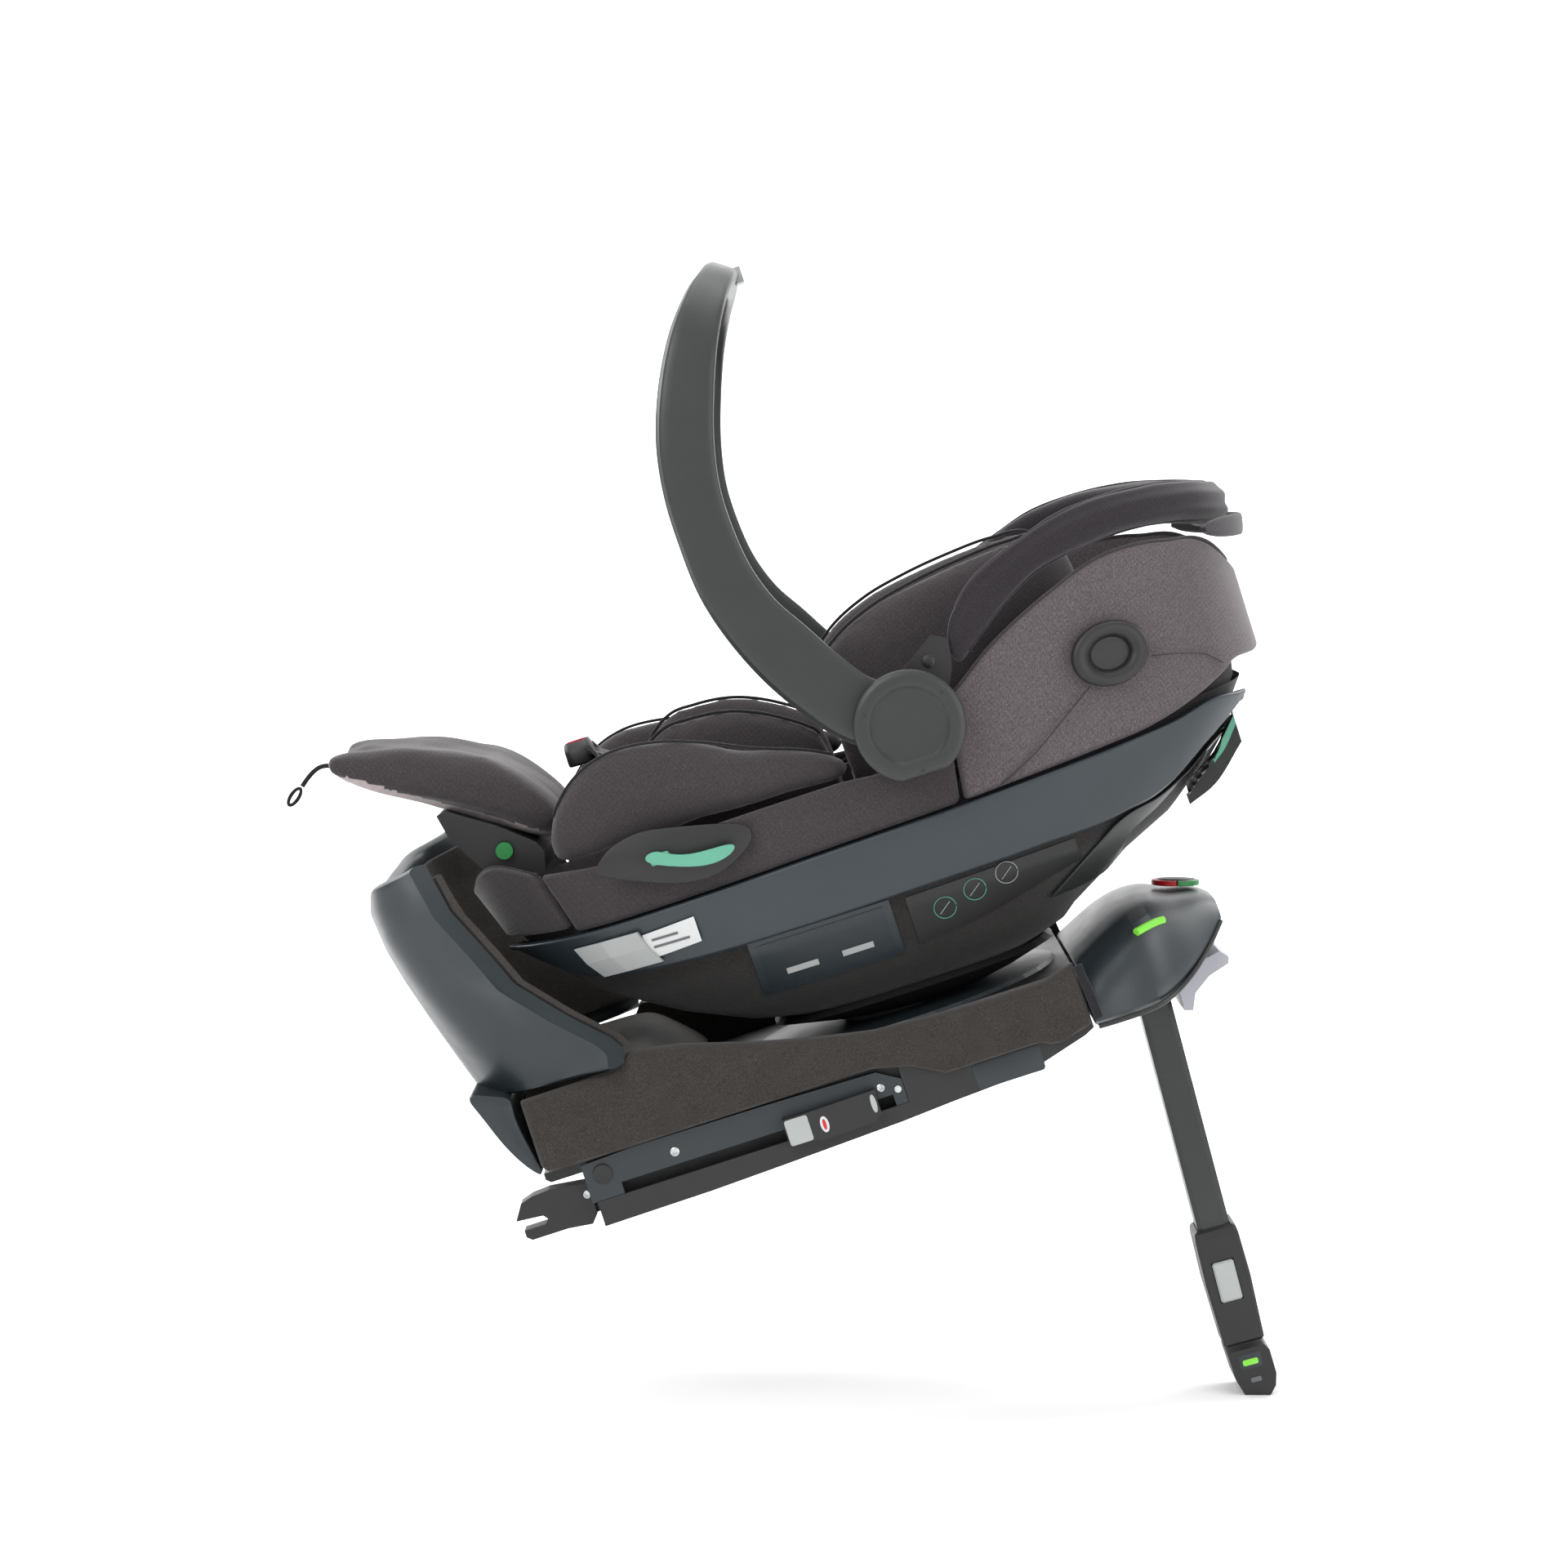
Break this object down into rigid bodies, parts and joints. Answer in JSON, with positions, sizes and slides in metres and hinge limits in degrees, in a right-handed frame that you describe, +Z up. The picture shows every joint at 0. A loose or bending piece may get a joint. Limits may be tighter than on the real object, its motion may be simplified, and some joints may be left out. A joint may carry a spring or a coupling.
{
  "type": "infant car seat",
  "caption": "Rear-facing infant carrier with handle, canopy and leg rest, on a swivelling vehicle base with rigid anchor arms, rebound bar and folding load leg.",
  "frame": {"origin": "midway between the two anchor jaws, where the vehicle's anchor rods lie", "axes": "+Z up with the load leg's foot level, +X towards the head end, +Y across; the base is pitched 18 degrees about Y as on a vehicle's cushion"},
  "size_m": [0.82, 0.4368, 0.9351],
  "materials": {
    "black_plastic": "moulded, finely grained",
    "blue_black_plastic": "satin",
    "felt": "speckled felt",
    "rail_plastic": "satin",
    "charcoal_plastic": "satin",
    "light_grey_plastic": "fine grain",
    "lilac_plastic": "fine grain",
    "teal_plastic": "satin",
    "green_plastic": "satin",
    "red_plastic": "satin",
    "seat_fabric": "fine knit",
    "heather_fabric": "heather knit",
    "canopy_fabric": "fine weave",
    "webbing": "woven webbing",
    "steel": "brushed"
  },
  "bodies": {
    "base": {"base_lower_casing": "black_plastic", "arm_cover_left": "blue_black_plastic", "arm_cover_right": "blue_black_plastic", "base_felt_left": "felt", "base_felt_right": "felt", "rebound_bar": "blue_black_plastic", "rebound_bar_liner": "felt", "front_nose": "blue_black_plastic", "status_dial": "green_plastic"},
    "anchor_arm_left": {"anchor_arm_left": "black_plastic"},
    "anchor_hook_left": {"anchor_hook_left": "steel"},
    "anchor_grip_left": {"anchor_grip_left": "black_plastic"},
    "anchor_arm_right": {"anchor_arm_right": "black_plastic"},
    "anchor_hook_right": {"anchor_hook_right": "steel"},
    "anchor_grip_right": {"anchor_grip_right": "black_plastic"},
    "seat_release": {"seat_release_handle": "lilac_plastic"},
    "leg": {"leg_upper_tube": "charcoal_plastic", "leg_pivot_pin": "steel"},
    "leg_lower": {"leg_lower_tube": "charcoal_plastic", "leg_sleeve": "black_plastic"},
    "leg_button": {"leg_adjust_button": "light_grey_plastic"},
    "foot": {"leg_foot": "black_plastic"},
    "turntable": {"turntable": "blue_black_plastic", "cradle": "black_plastic"},
    "carrier": {"carrier_tub": "felt", "seat_liner": "seat_fabric", "foot_cover": "seat_fabric", "head_cover": "heather_fabric", "head_end_shell": "charcoal_plastic", "infant_insert": "seat_fabric", "leg_rest_pin": "green_plastic", "harness_buckle": "black_plastic", "crotch_strap": "webbing", "rail_left": "rail_plastic", "side_cover_left": "seat_fabric", "belt_guide_left": "teal_plastic", "grommet_left": "black_plastic", "side_bolster_left": "seat_fabric", "hub_base_left": "black_plastic", "hub_cap_left": "charcoal_plastic", "rail_right": "rail_plastic", "side_cover_right": "seat_fabric", "belt_guide_right": "teal_plastic", "grommet_right": "black_plastic", "side_bolster_right": "seat_fabric", "hub_base_right": "black_plastic", "hub_cap_right": "charcoal_plastic"},
    "swivel_slider_left": {"swivel_slider_left": "light_grey_plastic"},
    "swivel_slider_right": {"swivel_slider_right": "light_grey_plastic"},
    "headrest": {"headrest": "seat_fabric"},
    "leg_rest": {"leg_rest_cushion": "seat_fabric", "leg_rest_support": "black_plastic", "adjuster_cord": "webbing", "adjuster_pull": "webbing"},
    "buckle_button": {"buckle_button": "red_plastic"},
    "handle": {"carry_handle": "charcoal_plastic"},
    "handle_button": {"handle_button": "light_grey_plastic"},
    "canopy": {"canopy_arm_left": "black_plastic", "canopy_arm_right": "black_plastic", "canopy_fabric": "canopy_fabric"}
  },
  "joints": [
    {"name": "anchor_arm_left_slide", "type": "slide", "parent": "base", "child": "anchor_arm_left", "axis": [-0.9511, 0, -0.309], "range_m": [0, 0.12]},
    {"name": "anchor_grip_left_slide", "type": "slide", "parent": "anchor_arm_left", "child": "anchor_grip_left", "axis": [0.9511, 0, 0.309], "range_m": [0, 0.008], "stiffness_N_per_m": 300, "springref_m": -0.002},
    {"name": "anchor_hook_left_pivot", "type": "hinge", "parent": "anchor_arm_left", "child": "anchor_hook_left", "pos_m": [0.01943, 0.14, 0.01788], "axis": [0, -1, 0], "range_deg": [0, 20]},
    {"name": "anchor_arm_right_slide", "type": "slide", "parent": "base", "child": "anchor_arm_right", "axis": [-0.9511, 0, -0.309], "range_m": [0, 0.12]},
    {"name": "anchor_grip_right_slide", "type": "slide", "parent": "anchor_arm_right", "child": "anchor_grip_right", "axis": [0.9511, 0, 0.309], "range_m": [0, 0.008], "stiffness_N_per_m": 300, "springref_m": -0.002},
    {"name": "anchor_hook_right_pivot", "type": "hinge", "parent": "anchor_arm_right", "child": "anchor_hook_right", "pos_m": [0.01943, -0.14, 0.01788], "axis": [0, -1, 0], "range_deg": [0, 20]},
    {"name": "seat_release_pivot", "type": "hinge", "parent": "base", "child": "seat_release", "pos_m": [0.52132, 0, 0.18831], "axis": [0, 1, 0], "range_deg": [0, 10], "stiffness_Nm_per_rad": 0.6, "springref_deg": -34.38},
    {"name": "leg_fold", "type": "hinge", "parent": "base", "child": "leg", "pos_m": [0.49626, 0, 0.17807], "axis": [0, 1, 0], "range_deg": [0, 86]},
    {"name": "leg_slide", "type": "slide", "parent": "leg", "child": "leg_lower", "axis": [0.2588, 0, -0.9659], "range_m": [0, 0.09]},
    {"name": "leg_button_press", "type": "slide", "parent": "leg_lower", "child": "leg_button", "axis": [0, 1, 0], "range_m": [0, 0.002], "stiffness_N_per_m": 300},
    {"name": "leg_foot_press", "type": "slide", "parent": "leg_lower", "child": "foot", "axis": [-0.2588, 0, 0.9659], "range_m": [0, 0.004], "stiffness_N_per_m": 2000, "springref_m": -0.002},
    {"name": "turntable_swivel", "type": "hinge", "parent": "base", "child": "turntable", "pos_m": [0.29624, 0, 0.15619], "axis": [-0.309, 0, 0.9511], "range_deg": [-90, 90]},
    {"name": "carrier_lift", "type": "slide", "parent": "turntable", "child": "carrier", "axis": [-0.309, 0, 0.9511], "range_m": [0, 0.15]},
    {"name": "swivel_slider_left_slide", "type": "slide", "parent": "carrier", "child": "swivel_slider_left", "axis": [-0.913, -0.28, -0.2967], "range_m": [0, 0.006], "stiffness_N_per_m": 200, "springref_m": -0.002},
    {"name": "swivel_slider_right_slide", "type": "slide", "parent": "carrier", "child": "swivel_slider_right", "axis": [-0.913, 0.28, -0.2967], "range_m": [0, 0.006], "stiffness_N_per_m": 200, "springref_m": -0.002},
    {"name": "headrest_slide", "type": "slide", "parent": "carrier", "child": "headrest", "axis": [0.9511, 0, 0.309], "range_m": [0, 0.015]},
    {"name": "leg_rest_pivot", "type": "hinge", "parent": "carrier", "child": "leg_rest", "pos_m": [-0.03067, 0, 0.2918], "axis": [0, 1, 0], "range_deg": [-10, 20]},
    {"name": "buckle_button_press", "type": "slide", "parent": "carrier", "child": "buckle_button", "axis": [0.309, 0, -0.9511], "range_m": [0, 0.003], "stiffness_N_per_m": 200, "springref_m": -0.001},
    {"name": "handle_pivot", "type": "hinge", "parent": "carrier", "child": "handle", "pos_m": [0.29271, 0, 0.40003], "axis": [0, 1, 0], "range_deg": [-50, 105]},
    {"name": "handle_button_press", "type": "slide", "parent": "handle", "child": "handle_button", "axis": [-0.9511, 0, -0.309], "range_m": [0, 0.003], "stiffness_N_per_m": 300, "springref_m": -0.001},
    {"name": "canopy_pivot", "type": "hinge", "parent": "carrier", "child": "canopy", "pos_m": [0.29271, 0, 0.40003], "axis": [0, 1, 0], "range_deg": [-100, 0]}
  ],
  "couplings": [
    {"joint": "anchor_hook_left_pivot", "follows": "anchor_grip_left_slide", "rad_per_m": 40},
    {"joint": "anchor_hook_right_pivot", "follows": "anchor_grip_right_slide", "rad_per_m": 40}
  ]
}
